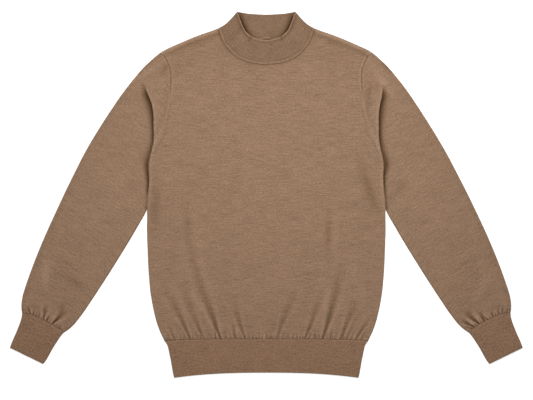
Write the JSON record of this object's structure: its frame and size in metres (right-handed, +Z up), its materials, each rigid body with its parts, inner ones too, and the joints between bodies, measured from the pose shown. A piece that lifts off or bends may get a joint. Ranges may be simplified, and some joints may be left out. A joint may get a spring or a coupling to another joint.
{
  "type": "mock neck sweater",
  "caption": "Long-sleeved fine-gauge knit sweater laid flat, with a low standing collar, set-in sleeves, gathered rib cuffs and a rib hem band.",
  "frame": {"origin": "centre of the overall box at the underside, which rests on the surface", "axes": "+X across the garment towards the viewer's right when it is seen from above with its neck up, +Y from the hem towards the neck, +Z up from the surface through the front panel"},
  "size_m": [1.0256, 0.7304, 0.0064],
  "materials": {
    "body_jersey": "fine plain knit, heathered, matt",
    "back_jersey": "fine plain knit, heathered, matt",
    "sleeve_left_jersey": "fine plain knit, heathered, matt",
    "sleeve_right_jersey": "fine plain knit, heathered, matt",
    "cuff_left_rib": "fine rib knit, matt",
    "cuff_right_rib": "fine rib knit, matt",
    "hem_rib": "fine rib knit, matt",
    "collar_rib": "fine double rib knit, matt"
  },
  "bodies": {
    "root": {"body_front": "body_jersey", "body_back": "back_jersey", "sleeve_left": "sleeve_left_jersey", "sleeve_right": "sleeve_right_jersey", "cuff_left": "cuff_left_rib", "cuff_right": "cuff_right_rib", "hem_band": "hem_rib", "collar": "collar_rib"}
  },
  "joints": []
}
